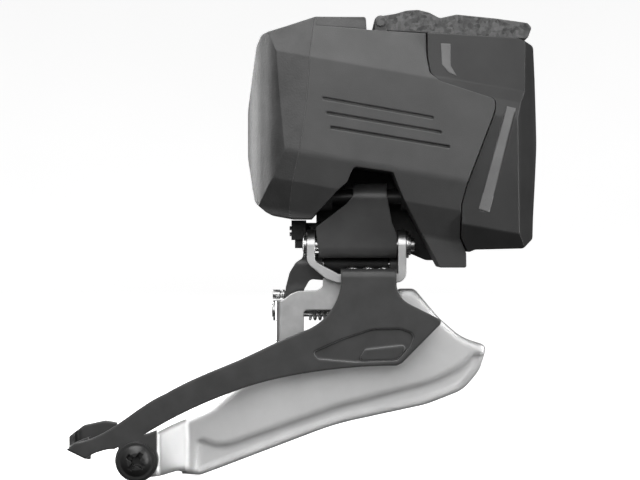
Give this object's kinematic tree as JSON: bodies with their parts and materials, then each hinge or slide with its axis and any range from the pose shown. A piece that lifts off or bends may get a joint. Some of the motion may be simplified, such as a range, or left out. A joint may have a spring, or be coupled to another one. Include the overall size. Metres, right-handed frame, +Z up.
{
  "type": "bicycle front derailleur",
  "caption": "Wireless electric front derailleur for a braze-on mount: motor housing with clip-on battery and latch, swinging links and a two-plate chain cage.",
  "frame": {"origin": "mouth of the threaded mount hole, on the seat that meets the frame's braze-on tab", "axes": "+X to the front of the bicycle, +Y inboard out of the mount hole, +Z up"},
  "size_m": [0.118, 0.039, 0.1183],
  "materials": {
    "black_shell": "fine grained, matt black",
    "cap_shell": "fine grained, dark, matt black",
    "battery_shell": "satin black",
    "latch_composite": "chopped fibre composite, satin",
    "dark_plastic": "matt",
    "black_alloy": "black anodised, matt",
    "link_black": "black anodised, satin",
    "black_plate": "black anodised, satin",
    "silver_plate": "bead blasted, satin",
    "silver_bracket": "stamped, satin",
    "steel": "plain",
    "black_steel": "black zinc",
    "motor_steel": "plated",
    "alloy": "machined",
    "brass_parts": "plain",
    "rubber_parts": "matt",
    "board": "lacquered board",
    "light_pipe": "clear"
  },
  "bodies": {
    "frame_side": {"button_spring": "steel", "cap_screws": "steel", "contact_block": "dark_plastic", "contact_pins": "steel", "contact_seal": "rubber_parts", "control_board": "board", "drive_motor": "motor_steel", "gear_plate": "alloy", "gear_plate_screws": "steel", "gearhead": "alloy", "housing_screws": "steel", "idler_pin": "steel", "inner_cover": "black_shell", "latch_pin": "steel", "latch_spring": "steel", "main_support": "black_alloy", "outer_cover": "black_shell", "rear_cap": "cap_shell", "shaft_bushes": "brass_parts", "shaft_seals": "rubber_parts", "status_light": "light_pipe", "top_strip": "cap_shell"},
    "outer_link_body": {"link_bushes": "brass_parts", "outer_link": "link_black", "sector_gear": "steel", "shaft_clip": "steel", "swing_shaft": "black_steel"},
    "inner_link_body": {"inner_link": "link_black", "inner_upper_pin": "steel", "spring_stud": "steel"},
    "cage_body": {"cage_bracket": "silver_bracket", "inner_cage_plate": "silver_plate", "inner_lower_pin": "steel", "inner_pin_clip": "steel", "neck_rivets": "steel", "outer_cage_plate": "black_plate", "outer_pivot_clip": "steel", "outer_pivot_pin": "steel", "outer_pivot_washers": "steel", "plate_rivets": "steel", "return_spring": "steel", "tail_nut": "steel", "tail_screw": "black_steel"},
    "idler_body": {"idler_gear": "brass_parts"},
    "pinion_body": {"output_pinion": "steel"},
    "latch_body": {"latch_lever": "latch_composite"},
    "battery_body": {"battery_case": "battery_shell", "battery_cell": "dark_plastic", "battery_contacts": "brass_parts"},
    "button_body": {"mode_button": "rubber_parts"},
    "limit_screw_body": {"limit_screw": "steel"}
  },
  "joints": [
    {"name": "link_swing", "type": "hinge", "parent": "frame_side", "child": "outer_link_body", "pos_m": [0.0026, -0.024, 0.001], "axis": [-1, 0, 0], "range_deg": [0, 42]},
    {"name": "inner_link_swing", "type": "hinge", "parent": "frame_side", "child": "inner_link_body", "pos_m": [-0.0006, -0.0142, -0.0161], "axis": [-1, 0, 0], "range_deg": [-1, 43]},
    {"name": "cage_pivot", "type": "hinge", "parent": "outer_link_body", "child": "cage_body", "pos_m": [-0.0007, -0.0218, -0.0111], "axis": [-1, 0, 0], "range_deg": [-43, 1]},
    {"name": "idler_spin", "type": "hinge", "parent": "frame_side", "child": "idler_body", "pos_m": [-0.017, -0.024, 0.0202], "axis": [-1, 0, 0], "range_deg": [-71, 1]},
    {"name": "pinion_spin", "type": "hinge", "parent": "frame_side", "child": "pinion_body", "pos_m": [-0.017, -0.024, 0.031], "axis": [-1, 0, 0], "range_deg": [-1, 141]},
    {"name": "latch_swing", "type": "hinge", "parent": "frame_side", "child": "latch_body", "pos_m": [0.0051, -0.02125, 0.0446], "axis": [0, -1, 0], "range_deg": [0, 75]},
    {"name": "battery_slide", "type": "slide", "parent": "frame_side", "child": "battery_body", "axis": [1, 0, 0], "range_m": [0, 0.0145]},
    {"name": "button_press", "type": "slide", "parent": "frame_side", "child": "button_body", "axis": [0, 0, -1], "range_m": [0, 0.0006], "stiffness_N_per_m": 1500},
    {"name": "limit_screw_turn", "type": "hinge", "parent": "frame_side", "child": "limit_screw_body", "pos_m": [-0.016, -0.015, -0.0076], "axis": [1, 0, 0], "continuous": true}
  ],
  "couplings": [
    {"joint": "inner_link_swing", "follows": "link_swing", "ratio": 1},
    {"joint": "cage_pivot", "follows": "link_swing", "ratio": -1},
    {"joint": "idler_spin", "follows": "link_swing", "ratio": -1.6667},
    {"joint": "pinion_spin", "follows": "link_swing", "ratio": 3.3333},
    {"joint": "battery_slide", "follows": "latch_swing", "m_per_rad": 0.010695}
  ]
}
